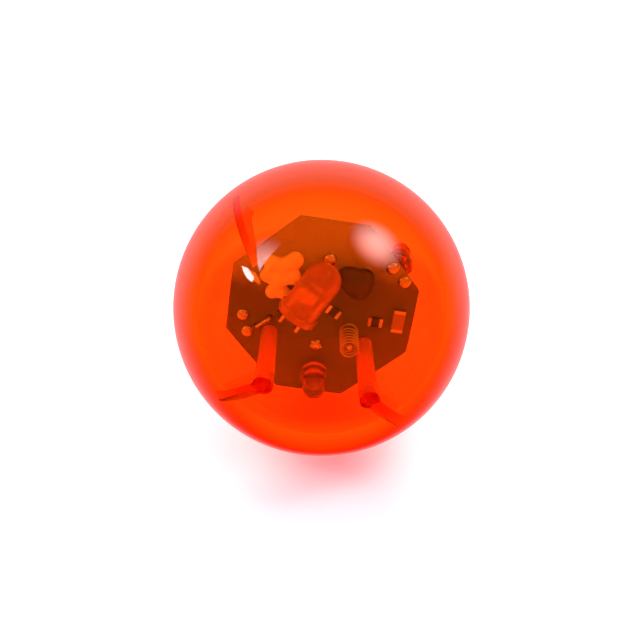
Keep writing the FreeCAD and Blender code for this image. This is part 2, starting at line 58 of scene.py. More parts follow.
# The shell. Its halves are shown as the one body that the weld makes of them
BALL_RADIUS = 19.97
WALL = 3.0
POSTS = [(6.5, -4.3), (-6.5, -4.3)]
POST_TIP_RADIUS = 1.1
POST_ROOT_RADIUS = 1.25
PIN_RADIUS = 0.5
PIN_LENGTH = 3.5
BORE_RADIUS = 0.55
BORE_DEPTH = 4.0
GUSSET_THICKNESS = 1.6
GUSSET_HEIGHT = 3.0
GUSSET_REACH = 6.6
RIB_THICKNESS = 1.0
RIB_START = 13.3
RIB_END = 15.6
RIB_HEADING = math.radians(135.0)
TONGUE_LENGTH = 2.0
BOARD_FACE = 0.6
LEAD_TAIL = 0.9
SEAT_GAP = 0.02
ROOT_SUNK_IN_WALL = 1.0
BORE_START = 0.3
PIN_START = -1.0
INNER_SPHERE_FACES = (192, 96)
OUTER_SPHERE_FACES = (256, 128)

# The shell's plastic: its dye, and how dull and frosted the posts and webs are. Dullness fades from the
# posts' to the webs' between two distances from the ball's middle
DYED_ORANGE = "FFCB00"
DYE_DENSITY = 844.1
POST_DULLNESS = 0.9
WEB_DULLNESS = 0.2
WEB_BAND = (13.0, 15.5)
CORE_FROSTING = 0.18

# The board's painted shade below gives way to painted light at the top between these heights
PAINTED_LIGHT_HEIGHTS = (5.0, 10.5)

# Lamps: place of the two leads, heading and lean in degrees, heights of the leads' knee and neck, and
# whether the lamp is behind the board
SMALL_LAMP = {"lens": 3.0, "flange": 3.8, "length": 5.3}
LARGE_LAMP = {"lens": 5.0, "flange": 5.8, "length": 8.6}
FLANGE_HEIGHT = 1.0
FLANGE_FLAT = 0.12
LENS_EDGE = 0.08
NOSE_STEPS = 16
SIDES_OF_A_LENS = 64
LAMPS = {
    "front_led": (SMALL_LAMP, (0.3, -9.0), 270.0, 2.0, 1.1, 0.8, False),
    "upper_led": (SMALL_LAMP, (9.35, 6.5), 47.0, 12.89, 1.1, 1.0, True),
    "side_led": (SMALL_LAMP, (-9.95, -3.4), 200.0, 9.81, 1.1, 1.0, True),
    "lying_led": (LARGE_LAMP, (-4.3, -1.6), 63.0, 90.0, 3.55, 1.8, False),
}

# Drops of glue: place, height of the middle over the board, reach
GLUE_DROPS = [
    (-4.5, 6.9, 0.6, 2.0), (-5.8, 5.9, 0.7, 2.1), (-7.5, 6.0, 0.3, 1.7), (-7.9, 4.2, 0.5, 1.7),
    (-6.3, 3.7, 0.8, 2.0), (-6.9, 1.9, 0.4, 1.7), (-5.3, 2.0, 0.6, 1.6), (-4.5, 4.6, 0.9, 1.9),
]

# The same for the resin over the chip
RESIN_DROPS = [
    (3.8, 4.75, 0.1, 3.2), (2.6, 5.4, 0.0, 2.3), (4.7, 3.8, 0.0, 2.4), (5.1, 5.5, 0.0, 2.0),
]

# How finely drops are joined into lumps, and how thick the joined skin lies inside their reach
LUMP_RESOLUTION = 0.16
LUMP_THRESHOLD = 0.6

# The motion switch
SWITCH_PLACE = (4.1, -2.5)
COIL_RADIUS = 1.175
SPRING_WIRE = 0.25
OPEN_PITCH = 0.8
OPEN_TURNS = 6
CLOSED_PITCH = 0.27
CLOSED_TURNS = 2
CLOSED_START = 0.745
OPEN_START = 1.785
SIDES_OF_A_WIRE = 12
STEPS_OF_A_TURN = 40

# The camera stands before the front half and looks down on the ball
VIEW_ELEVATION = 25.0
VIEW_DISTANCE = 350.0
PICTURE_SIZE = 640
BALL_RADIUS_IN_PICTURE = 148.5
BALL_CENTRE_IN_PICTURE = (321.5, 308.0)
SENSOR_WIDTH = 36.0

# The floor, with its half size in metres and its height in millimetres
FLOOR_HALF_SIZE = 3.0
FLOOR_HEIGHT = -20.0

# The ball's pink glow on the floor, as the eye sees it: its middle, its slant, the reach over which it
# fades, and how much white is mixed in outside it
GLOW_TO_EYE = "B45974"
GLOW_MIDDLE = 2.0
GLOW_SLANT = 0.55
GLOW_REACH = (-4.8, 9.2)
WHITE_ADDED_TO_EYE = 0.33

# The floor as it shows through the ball: a tint with a bright spot before the contact, and an orange
# shade behind. Both are ovals, with softness as the parts of their radii over which they fade
GLOW_THROUGH_BALL = "F26161"
GLOW_BEFORE_CONTACT = "F2CE95"
CONTACT_MIDDLE = (0.0, -11.0)
CONTACT_RADII = (22.0, 11.0)
CONTACT_SOFTNESS = (0.18, 1.0)
ORANGE_SHADE = "FFBCBC"
SHADE_MIDDLE = (2.0, 52.0)
SHADE_RADII = (52.0, 62.0)
SHADE_SOFTNESS = (0.6, 1.15)

# The room: how bright it is behind the ball in the ball's gloss, before the ball and behind it as seen
# through the ball, and the bands of direction over which it changes
ROOM_BACK_IN_GLOSS = 0.52
ROOM_FRONT = 1.25
ROOM_THROUGH = 1.0
ROOM_THROUGH_BAND = (-0.3, 0.3)
GLOSS_HEIGHT_SHARE = 0.25
GLOSS_BAND = (0.35, 0.8)
GLOSS_FLOOR_BAND = (-0.85, -0.55)

# The lamps, with azimuth and elevation in degrees as seen from the ball, and distances in metres
CARD_DISTANCE = 0.6
ROUND_LAMP_MIDDLE = (85.0, 53.0)
ROUND_LAMP_RADIUS = 19.5
WEDGE_CORNERS = [(-65.3, 38.2), (-104.0, 49.0), (-74.0, 72.0)]
WINDOW_CORNERS = [
    (-82.9, 32.5), (-76.5, 34.5), (-66.2, 33.2), (-64.5, 30.0), (-71.0, 29.5), (-79.5, 31.0),
]


def linear(hex_colour):
    """A colour written as sRGB hex, as the linear values that the shaders take."""
    values = []
    for i in (0, 2, 4):
        c = int(hex_colour[i:i + 2], 16) / 255
        values.append(c / 12.92 if c <= 0.04045 else ((c + 0.055) / 1.055) ** 2.4)
    return (*values, 1.0)


def add(tree, kind, inputs=None, **settings):
    """Adds a node to a tree. An input is a value, or another node's output to link from."""
    node = tree.nodes.new(kind)
    for key, value in settings.items():
        setattr(node, key, value)
    for key, value in (inputs or {}).items():
        if isinstance(value, bpy.types.NodeSocket):
            tree.links.new(value, node.inputs[key])
        else:
            node.inputs[key].default_value = value
    return node


def new_material(name):
    """An empty material, with the node tree to fill."""
    material = bpy.data.materials.new(name)
    material.use_nodes = True
    material.node_tree.nodes.clear()
    return material, material.node_tree


def moulded_clear_orange():
    """Polystyrene, dyed right through and moulded clear: glossy, and deeper in colour where thicker.
    The posts and webs inside come out of cores that aren't polished, so they look duller and frosted."""
    material, tree = new_material("moulded_clear_orange")
    place = add(tree, "ShaderNodeTexCoord").outputs["Object"]
    out = add(tree, "ShaderNodeVectorMath", {0: place}, operation="LENGTH")
    core = add(tree, "ShaderNodeMapRange", {
        "Value": out.outputs["Value"],
        "From Min": WEB_BAND[0] * MM,
        "From Max": WEB_BAND[1] * MM,
        "To Min": POST_DULLNESS,
        "To Max": WEB_DULLNESS,
    })
    dull = add(tree, "ShaderNodeMapRange", {
        "Value": out.outputs["Value"],
        "From Min": (BALL_RADIUS - WALL - 0.1) * MM,
        "From Max": (BALL_RADIUS - WALL - 0.03) * MM,
        "To Min": core.outputs["Result"],
        "To Max": 0.0,
    })
    flow = add(tree, "ShaderNodeTexNoise", {"Vector": place, "Scale": 1 / (4.0 * MM), "Detail": 2.0})
    waviness = add(tree, "ShaderNodeBump", {
        "Height": flow.outputs["Fac"],
        "Strength": 0.1,
        "Distance": 0.05 * MM,
    })
    surface = add(tree, "ShaderNodeBsdfPrincipled", {
        "Base Color": linear("FFFFFF"),
        "Roughness": dull.outputs["Result"],
        "IOR": 1.58,
        "Transmission Weight": 1.0,
        "Normal": waviness.outputs["Normal"],
    })
    skin = add(tree, "ShaderNodeBsdfDiffuse", {"Color": linear("F2BC9C")})
    frosted = add(tree, "ShaderNodeMapRange", {
        "Value": dull.outputs["Result"],
        "From Max": WEB_DULLNESS,
        "To Max": CORE_FROSTING,
    })
    both = add(tree, "ShaderNodeMixShader", {
        0: frosted.outputs["Result"],
        1: surface.outputs["BSDF"],
        2: skin.outputs["BSDF"],
    })
    dye = add(tree, "ShaderNodeVolumeAbsorption", {
        "Color": linear(DYED_ORANGE),
        "Density": DYE_DENSITY,
    })
    add(tree, "ShaderNodeOutputMaterial", {
        "Surface": both.outputs["Shader"],
        "Volume": dye.outputs["Volume"],
    })
    return material


def plain(name, hex_colour, roughness, metallic=0.0, grain_mm=0.5, grain=0.1, unevenness=0.08):
    """A solid finish with a fine uneven surface, and a little lighter and darker by turns."""
    material, tree = new_material(name)
    place = add(tree, "ShaderNodeTexCoord").outputs["Object"]
    noise = add(tree, "ShaderNodeTexNoise", {
        "Vector": place,
        "Scale": 1 / (grain_mm * MM),
        "Detail": 3.0,
    })
    tone = add(tree, "ShaderNodeMapRange", {
        "Value": noise.outputs["Fac"],
        "To Min": 1 - unevenness,
        "To Max": 1 + unevenness,
    })
    colour = add(tree, "ShaderNodeHueSaturation", {
        "Color": linear(hex_colour),
        "Value": tone.outputs["Result"],
    })
    bump = add(tree, "ShaderNodeBump", {
        "Height": noise.outputs["Fac"],
        "Strength": grain,
        "Distance": 0.05 * MM,
    })
    surface = add(tree, "ShaderNodeBsdfPrincipled", {
        "Base Color": colour.outputs["Color"],
        "Roughness": roughness,
        "Metallic": metallic,
        "Normal": bump.outputs["Normal"],
    })
    add(tree, "ShaderNodeOutputMaterial", {"Surface": surface.outputs["BSDF"]})
    return material


def glass_epoxy_laminate():
    """The board: woven glass in epoxy, which lets more light through at the top. Its colour is painted
    light at the top and painted shade below, in fields a little lighter or darker. It is darker round
    the resin over the chip."""
    material, tree = new_material("glass_epoxy_laminate")
    place = add(tree, "ShaderNodeTexCoord").outputs["Object"]
    blotch = add(tree, "ShaderNodeTexNoise", {"Vector": place, "Scale": 1 / (3.0 * MM), "Detail": 4.0})
    height = add(tree, "ShaderNodeSeparateXYZ", {"Vector": place}).outputs["Z"]
    uneven_height = add(tree, "ShaderNodeMath", {
        0: blotch.outputs["Fac"],
        1: 5.0 * MM,
        2: height,
    }, operation="MULTIPLY_ADD")
    # Painted light: the board is coloured pale above these heights and dark below them, and lets more
    # light through above
    painted_light_above = add(tree, "ShaderNodeMapRange", {
        "Value": uneven_height.outputs["Value"],
        "From Min": PAINTED_LIGHT_HEIGHTS[0] * MM,
        "From Max": PAINTED_LIGHT_HEIGHTS[1] * MM,
    }, interpolation_type="SMOOTHSTEP").outputs["Result"]
    fields = add(tree, "ShaderNodeTexVoronoi", {
        "Vector": place,
        "Scale": 1 / (4.0 * MM),
    }, distance="CHEBYCHEV")
    field = add(tree, "ShaderNodeSeparateColor", {"Color": fields.outputs["Color"]}).outputs["Red"]
    # The board is darker round the resin over the chip
    from_resin = add(tree, "ShaderNodeVectorMath", {
        0: place,
        1: lie_down() @ Vector(RESIN_DROPS[0][:3]),
    }, operation="DISTANCE")
    darker_near_resin = add(tree, "ShaderNodeMapRange", {
        "Value": from_resin.outputs["Value"],
        "From Min": 2.5 * MM,
        "From Max": 6.5 * MM,
        "To Min": 0.76,
        "To Max": 1.0,
    }, interpolation_type="SMOOTHSTEP")
    weave = add(tree, "ShaderNodeTexWave", {
        "Vector": place,
        "Scale": 1 / (1.1 * MM),
        "Distortion": 1.5,
        "Detail": 2.0,
    }, wave_type="BANDS", bands_direction="DIAGONAL")
    # Painted shade: the darker colour of the board's lower part, in fields a little lighter or darker
    shade_field_tone = add(tree, "ShaderNodeMapRange", {"Value": field, "To Min": 0.86, "To Max": 1.0})
    painted_shade_below = add(tree, "ShaderNodeHueSaturation", {
        "Color": linear("69653F"),
        "Value": shade_field_tone.outputs["Result"],
    })
    body = add(tree, "ShaderNodeMix", {
        "Factor": painted_light_above,
        "A": painted_shade_below.outputs["Color"],
        "B": linear("CCD492"),
    }, data_type="RGBA")
    between_threads = add(tree, "ShaderNodeMath", {
        0: darker_near_resin.outputs["Result"],
        1: 0.96,
    }, operation="MULTIPLY")
    tone = add(tree, "ShaderNodeMapRange", {
        "Value": weave.outputs["Fac"],
        "To Min": between_threads.outputs["Value"],
        "To Max": darker_near_resin.outputs["Result"],
    })
    colour = add(tree, "ShaderNodeHueSaturation", {
        "Color": body.outputs[2],
        "Value": tone.outputs["Result"],
    })
    face = add(tree, "ShaderNodeBsdfPrincipled", {
        "Base Color": colour.outputs["Color"],
        "Roughness": 0.45,
        "IOR": 1.5,
    })
    through = add(tree, "ShaderNodeBsdfTranslucent", {"Color": colour.outputs["Color"]})
    clearness = add(tree, "ShaderNodeMapRange", {"Value": painted_light_above, "To Min": 0.12, "To Max": 0.5})
    both = add(tree, "ShaderNodeMixShader", {
        0: clearness.outputs["Result"],
        1: face.outputs["BSDF"],
        2: through.outputs["BSDF"],
    })
    add(tree, "ShaderNodeOutputMaterial", {"Surface": both.outputs["Shader"]})
    return material


def hot_melt_glue():
    """Hot-melt glue, set in soft uneven lumps: milky and pale, with a little light coming through."""
    material, tree = new_material("hot_melt_glue")
    place = add(tree, "ShaderNodeTexCoord").outputs["Object"]
    noise = add(tree, "ShaderNodeTexNoise", {"Vector": place, "Scale": 1 / (1.6 * MM), "Detail": 2.0})
    bump = add(tree, "ShaderNodeBump", {
        "Height": noise.outputs["Fac"],
        "Strength": 0.8,
        "Distance": 0.5 * MM,
    })
    surface = add(tree, "ShaderNodeBsdfPrincipled", {
        "Base Color": linear("FFFBEF"),
        "Roughness": 0.12,
        "IOR": 1.48,
        "Transmission Weight": 0.1,
        "Normal": bump.outputs["Normal"],
    })
    add(tree, "ShaderNodeOutputMaterial", {"Surface": surface.outputs["BSDF"]})
    return material


def red_tinted_epoxy(name, dye, least_haze, most_haze):
    """A lamp's lens: epoxy cast with a red dye and a little haze, so that it looks lit from within."""
    material, tree = new_material(name)
    place = add(tree, "ShaderNodeTexCoord").outputs["Object"]
    noise = add(tree, "ShaderNodeTexNoise", {"Vector": place, "Scale": 1 / (2.5 * MM), "Detail": 1.0})
    haze = add(tree, "ShaderNodeMapRange", {
        "Value": noise.outputs["Fac"],
        "To Min": least_haze,
        "To Max": most_haze,
    })
    clear = add(tree, "ShaderNodeBsdfPrincipled", {
        "Base Color": linear(dye),
        "Roughness": 0.03,
        "IOR": 1.53,
        "Transmission Weight": 1.0,
    })
    glow = add(tree, "ShaderNodeBsdfPrincipled", {
        "Base Color": linear("FFB8A0"),
        "Roughness": 0.03,
        "IOR": 1.53,
        "Subsurface Weight": 1.0,
        "Subsurface Radius": (1.0, 0.5, 0.4),
        "Subsurface Scale": 1.5 * MM,
    })
    both = add(tree, "ShaderNodeMixShader", {
        0: haze.outputs["Result"],
        1: clear.outputs["BSDF"],
        2: glow.outputs["BSDF"],
    })
    add(tree, "ShaderNodeOutputMaterial", {"Surface": both.outputs["Shader"]})
    return material


def lie_down():
    """The turn from the bench to the floor, with millimetres made metres."""
    roll = Matrix.Rotation(-ROLL, 4, "Z")
    tip_forward = Matrix.Rotation(math.pi / 2, 4, "X")
    return Matrix.Scale(MM, 4) @ tip_forward @ roll


def piece(name, mesh, material, body, replaced, sharp_degrees):
    """Lays a finished mesh down, paints it and puts it on its body in place of CAD nodes."""
    mesh.name = name
    mesh.transform(lie_down())
    mesh.materials.clear()
    mesh.materials.append(material)
    mesh.shade_smooth()
    mesh.set_sharp_from_angle(angle=math.radians(sharp_degrees))
    made = bpy.data.objects.new(name, mesh)
    bpy.context.scene.collection.objects.link(made)
    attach(made, body)
    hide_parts(*replaced)


def scratch_object(name, bm):
    """A helper object from a bmesh, for carving with. It is deleted after use."""
    mesh = bpy.data.meshes.new(name)
    bmesh.ops.recalc_face_normals(bm, faces=bm.faces)
    bm.to_mesh(mesh)
    bm.free()
    made = bpy.data.objects.new(name, mesh)
    bpy.context.scene.collection.objects.link(made)
    return made


def carve(target, operation, cutter):
    """Adds the cutter to the target or takes it away, and deletes the cutter."""
    change = target.modifiers.new("carve", "BOOLEAN")
    change.operation = operation
    change.object = cutter
    change.solver = "EXACT"
    mesh = bpy.data.meshes.new_from_object(target.evaluated_get(bpy.context.evaluated_depsgraph_get()))
    target.modifiers.clear()
    target.data = mesh
    bpy.data.objects.remove(cutter)


def cones(name, places, low, high, low_radius, high_radius, sides=48):
    """Upright cones or cylinders at several places on the bench, as one scratch object."""
    bm = bmesh.new()
    for x, y in places:
        middle = Matrix.Translation((x, y, (low + high) / 2))
        bmesh.ops.create_cone(
            bm, cap_ends=True, segments=sides, radius1=low_radius, radius2=high_radius,
            depth=high - low, matrix=middle,
        )
    return scratch_object(name, bm)


def web(bm, outline, thickness, place, heading):
    """A thin plate standing on the bench, from (out, up) points that start at a place."""
    stand = Matrix.Translation((*place, 0)) @ Matrix.Rotation(heading, 4, "Z")
    rings = []
    for side in (-0.5, 0.5):
        points = [stand @ Vector((u, side * thickness, v)) for u, v in outline]
        rings.append([bm.verts.new(p) for p in points])
    bm.faces.new(rings[0])
    bm.faces.new(rings[1])
    for k in range(len(outline)):
        following = (k + 1) % len(outline)
        bm.faces.new((rings[0][k], rings[0][following], rings[1][following], rings[1][k]))


def height_on_wall(distance):
    """How high the wall's inner face is over the bench, at a distance from the axis."""
    return math.sqrt((BALL_RADIUS - WALL)**2 - distance**2)


def webs():
    """The gussets from the front posts' roots out along the wall, and the rib beside the board."""
    bm = bmesh.new()
    for x, y in POSTS:
        heading = math.atan2(math.copysign(1, y), math.copysign(1, x))
        end = math.hypot(x + GUSSET_REACH * math.cos(heading), y + GUSSET_REACH * math.sin(heading))
        outline = [
            (0, height_on_wall(math.hypot(x, y)) - GUSSET_HEIGHT),
            (GUSSET_REACH, height_on_wall(end)),
            (GUSSET_REACH + WALL, height_on_wall(end)),
            (GUSSET_REACH + WALL, BALL_RADIUS),
            (0, BALL_RADIUS),
        ]
        web(bm, outline, GUSSET_THICKNESS, (x, y), heading)
    outline = [
        (RIB_START, height_on_wall(RIB_START)),
        (RIB_END, BOARD_FACE),
        (RIB_END, -TONGUE_LENGTH),
        (BALL_RADIUS, -TONGUE_LENGTH),
        (BALL_RADIUS, height_on_wall(RIB_START)),
    ]
    web(bm, outline, RIB_THICKNESS, (0, 0), RIB_HEADING)
    return scratch_object("webs", bm)


def sphere(radius, faces):
    """A sphere with a number of faces round it and a number from pole to pole."""
    bm = bmesh.new()
    bmesh.ops.create_uvsphere(bm, u_segments=faces[0], v_segments=faces[1], radius=radius)
    return bm


def welded_shell(material):
    """Both half shells as the one body of clear plastic that the weld makes of them."""
    inner = BALL_RADIUS - WALL
    hollow = scratch_object("hollow", sphere(inner, INNER_SPHERE_FACES))
    root = inner + ROOT_SUNK_IN_WALL
    tip = BOARD_FACE + SEAT_GAP
    carve(hollow, "DIFFERENCE", cones("posts", POSTS, tip, root, POST_TIP_RADIUS, POST_ROOT_RADIUS))
    carve(hollow, "DIFFERENCE", cones("posts", POSTS, -root, -tip, POST_ROOT_RADIUS, POST_TIP_RADIUS))
    carve(hollow, "DIFFERENCE", webs())
    bore_end = BOARD_FACE + BORE_DEPTH
    carve(hollow, "UNION", cones("bores", POSTS, BORE_START, bore_end, BORE_RADIUS, BORE_RADIUS))
    pin_end = BOARD_FACE + PIN_LENGTH
    carve(hollow, "DIFFERENCE", cones("pins", POSTS, PIN_START, pin_end, PIN_RADIUS, PIN_RADIUS))
    bm = bmesh.new()
    bm.from_mesh(hollow.data)
    bmesh.ops.recalc_face_normals(bm, faces=bm.faces)
    bmesh.ops.reverse_faces(bm, faces=bm.faces)
    outside = sphere(BALL_RADIUS, OUTER_SPHERE_FACES)
    bmesh.ops.recalc_face_normals(outside, faces=outside.faces)
    outside_mesh = bpy.data.meshes.new("outside")
    outside.to_mesh(outside_mesh)
    outside.free()
    bm.from_mesh(outside_mesh)
    mesh = bpy.data.meshes.new("welded_shell")
    bm.to_mesh(mesh)
    bm.free()
    bpy.data.objects.remove(hollow)
    piece("welded_shell", mesh, material, "ball", ("front_shell", "rear_shell"), 30)


def turned(profile, segments):
    """A closed shape turned about Z from (radius, height) points that start and end on the axis."""
    bm = bmesh.new()
    rings = []
    for radius, height in profile:
        if radius == 0:
            rings.append([bm.verts.new((0, 0, height))])
            continue
        ring = []
        for i in range(segments):
            angle = math.tau * i / segments
            ring.append(bm.verts.new((radius * math.cos(angle), radius * math.sin(angle), height)))
        rings.append(ring)
    for low, high in zip(rings, rings[1:]):
        for i in range(segments):
            j = (i + 1) % segments
            if len(low) == 1:
                bm.faces.new((low[0], high[j], high[i]))
            elif len(high) == 1:
                bm.faces.new((low[i], low[j], high[0]))
            else:
                bm.faces.new((low[i], low[j], high[j], high[i]))
    bmesh.ops.recalc_face_normals(bm, faces=bm.faces)
    return bm


def lamp_lens(name, material):
    """A clear lens with a flange that has a flat at one side, and a round nose."""
    lamp = LAMPS[name][0]
    radius = lamp["lens"] / 2
    flange = lamp["flange"] / 2
    length = lamp["length"]
    edge = LENS_EDGE
    profile = [
        (0, 0), (flange - edge, 0), (flange, edge), (flange, FLANGE_HEIGHT - edge),
        (flange - edge, FLANGE_HEIGHT), (radius + edge, FLANGE_HEIGHT), (radius, FLANGE_HEIGHT + edge),
    ]
    for i in range(NOSE_STEPS):
        angle = math.pi / 2 * i / NOSE_STEPS
        profile.append((radius * math.cos(angle), length - radius + radius * math.sin(angle)))
    profile.append((0, length))
    bm = turned(profile, SIDES_OF_A_LENS)
    limit = radius + FLANGE_FLAT
    for vert in bm.verts:
        vert.co.x = max(vert.co.x, -limit)
    mesh = bpy.data.meshes.new(name)
    bm.to_mesh(mesh)
    bm.free()
    mesh.transform(lamp_stand(name))
    piece(name + "_clear_lens", mesh, material, "ball", (name + "_lens",), 40)


def lamp_stand(name):
    """Where a lamp's lens stands on the bench."""
    place, heading, lean, knee, neck, behind = LAMPS[name][1:]
    stand = Matrix.Translation((0, 0, knee)) @ Matrix.Rotation(-math.radians(lean), 4, "X")
    stand = stand @ Matrix.Translation((0, 0, neck))
    if behind:
        stand = Matrix.Rotation(math.pi, 4, "Y") @ stand
    stand = Matrix.Rotation(math.radians(heading - 90), 4, "Z") @ stand
    return Matrix.Translation((*place, 0)) @ stand


def lumps(name, drops, material, node):
    """Soft lumps that run into each other on the board's front face, such as glue or resin."""
    family = bpy.data.metaballs.new(name)
    family.resolution = LUMP_RESOLUTION
    family.threshold = LUMP_THRESHOLD
    for x, y, height, radius in drops:
        drop = family.elements.new()
        drop.co = (x, y, BOARD_FACE + height)
        drop.radius = radius
    made = bpy.data.objects.new(name, family)
    bpy.context.scene.collection.objects.link(made)
    shown = made.evaluated_get(bpy.context.evaluated_depsgraph_get())
    mesh = bpy.data.meshes.new_from_object(shown)
    bpy.data.objects.remove(made)
    lump = bpy.data.objects.new(name, mesh)
    bpy.context.scene.collection.objects.link(lump)
    depth, reach = 5.0, 15.0
    carve(lump, "DIFFERENCE", cones("board", [(0, 0)], -depth, BOARD_FACE, reach, reach))
    mesh = lump.data
    bpy.data.objects.remove(lump)
    piece(name, mesh, material, "ball", (node,), 50)


def coil_maker():
    """A node tree that winds a wire up the Z axis."""
    tree = bpy.data.node_groups.new("wound_coil", "GeometryNodeTree")
    tree.interface.new_socket("Geometry", in_out="OUTPUT", socket_type="NodeSocketGeometry")
    for label in ("Coil radius", "Pitch", "Turns", "Wire radius"):
        tree.interface.new_socket(label, in_out="INPUT", socket_type="NodeSocketFloat")
    tree.interface.new_socket("Metal", in_out="INPUT", socket_type="NodeSocketMaterial")
    given = add(tree, "NodeGroupInput").outputs
    rise = add(tree, "ShaderNodeMath", {0: given["Pitch"], 1: given["Turns"]}, operation="MULTIPLY")
    line = add(tree, "GeometryNodeCurveSpiral", {
        "Resolution": STEPS_OF_A_TURN,
        "Rotations": given["Turns"],
        "Start Radius": given["Coil radius"],
        "End Radius": given["Coil radius"],
        "Height": rise.outputs["Value"],
    })
    section = add(tree, "GeometryNodeCurvePrimitiveCircle", {
        "Resolution": SIDES_OF_A_WIRE,
        "Radius": given["Wire radius"],
    })
    wire = add(tree, "GeometryNodeCurveToMesh", {
        "Curve": line.outputs["Curve"],
        "Profile Curve": section.outputs["Curve"],
        "Fill Caps": True,
    })
    solid = add(tree, "GeometryNodeRealizeInstances", {"Geometry": wire.outputs["Mesh"]})
    painted = add(tree, "GeometryNodeSetMaterial", {
        "Geometry": solid.outputs["Geometry"],
        "Material": given["Metal"],
    })
    add(tree, "NodeGroupOutput", {"Geometry": painted.outputs["Geometry"]})
    return tree


def grown(tree, values):
    """The plain mesh that a node tree makes from named inputs."""
    seed = bpy.data.objects.new("seed", bpy.data.meshes.new("seed"))
    bpy.context.scene.collection.objects.link(seed)
    growth = seed.modifiers.new("growth", "NODES")
    growth.node_group = tree
    for item in tree.interface.items_tree:
        if item.in_out == "INPUT" and item.name in values:
            growth[item.identifier] = values[item.name]
    shown = seed.evaluated_get(bpy.context.evaluated_depsgraph_get())
    mesh = bpy.data.meshes.new_from_object(shown)
    bpy.data.objects.remove(seed)
    return mesh


def with_tail(mesh, x, y):
    """Adds the wire's straight tail, which goes through the board."""
    radius = SPRING_WIRE / 2
    end = -BOARD_FACE - LEAD_TAIL
    tail = cones("tail", [(x, y)], end, CLOSED_START, radius, radius, SIDES_OF_A_WIRE)
    bm = bmesh.new()
    bm.from_mesh(mesh)
    bm.from_mesh(tail.data)
    bm.to_mesh(mesh)
    bm.free()
    bpy.data.objects.remove(tail)
    return mesh


def motion_switch(metal):
    """The open coils that shake, and the closed coils at their root."""
    tree = coil_maker()
    x, y = SWITCH_PLACE
    coils = {"Coil radius": COIL_RADIUS, "Wire radius": SPRING_WIRE / 2, "Metal": metal}
    for name, node, body, pitch, turns, start in (
        ("wound_spring", "motion_spring", "spring", OPEN_PITCH, OPEN_TURNS, OPEN_START),
        ("closed_coils", "spring_base", "ball", CLOSED_PITCH, CLOSED_TURNS, CLOSED_START),
    ):
        mesh = grown(tree, {**coils, "Pitch": pitch, "Turns": float(turns)})
        mesh.transform(Matrix.Translation((x, y, start)))
        if body == "ball":
            mesh = with_tail(mesh, x + COIL_RADIUS, y)
        piece(name, mesh, metal, body, (node,), 40)


def focal_length(radius):
    """The focal length that shows the ball at its size in the picture."""
    edge = math.tan(math.asin(radius / VIEW_DISTANCE))
    half_picture = edge * (PICTURE_SIZE / 2) / BALL_RADIUS_IN_PICTURE
    return SENSOR_WIDTH / 2 / half_picture


def camera():
    """A long lens before the front half, which looks down at the ball's middle."""
    data = bpy.data.cameras.new("camera")
    data.sensor_width = SENSOR_WIDTH
    data.lens = focal_length(BALL_RADIUS)
    data.shift_x = (PICTURE_SIZE / 2 - BALL_CENTRE_IN_PICTURE[0]) / PICTURE_SIZE
    data.shift_y = (BALL_CENTRE_IN_PICTURE[1] - PICTURE_SIZE / 2) / PICTURE_SIZE
    data.clip_start = 0.01
    made = bpy.data.objects.new("camera", data)
    rise = math.radians(VIEW_ELEVATION)
    back = Vector((0, -math.cos(rise), math.sin(rise)))
    made.location = back * VIEW_DISTANCE * MM
    made.rotation_mode = "QUATERNION"
    made.rotation_quaternion = (-back).to_track_quat("-Z", "Y")
    bpy.context.scene.collection.objects.link(made)
    bpy.context.scene.camera = made


def oval_fade(tree, place, middle, radii, softness):
    """Nought in the middle of an oval on the floor and one outside it. Its sizes are in millimetres."""
    from_middle = add(tree, "ShaderNodeVectorMath", {
        0: place,
        1: (middle[0] * MM, middle[1] * MM, 0),
    }, operation="SUBTRACT")
    in_radii = add(tree, "ShaderNodeVectorMath", {
        0: from_middle.outputs["Vector"],
        1: (1 / (radii[0] * MM), 1 / (radii[1] * MM), 0),
    }, operation="MULTIPLY")
    away = add(tree, "ShaderNodeVectorMath", {0: in_radii.outputs["Vector"]}, operation="LENGTH")
    fade = add(tree, "ShaderNodeMapRange", {
        "Value": away.outputs["Value"],
        "From Min": softness[0],
        "From Max": softness[1],
    }, interpolation_type="SMOOTHSTEP")
    return fade.outputs["Result"]


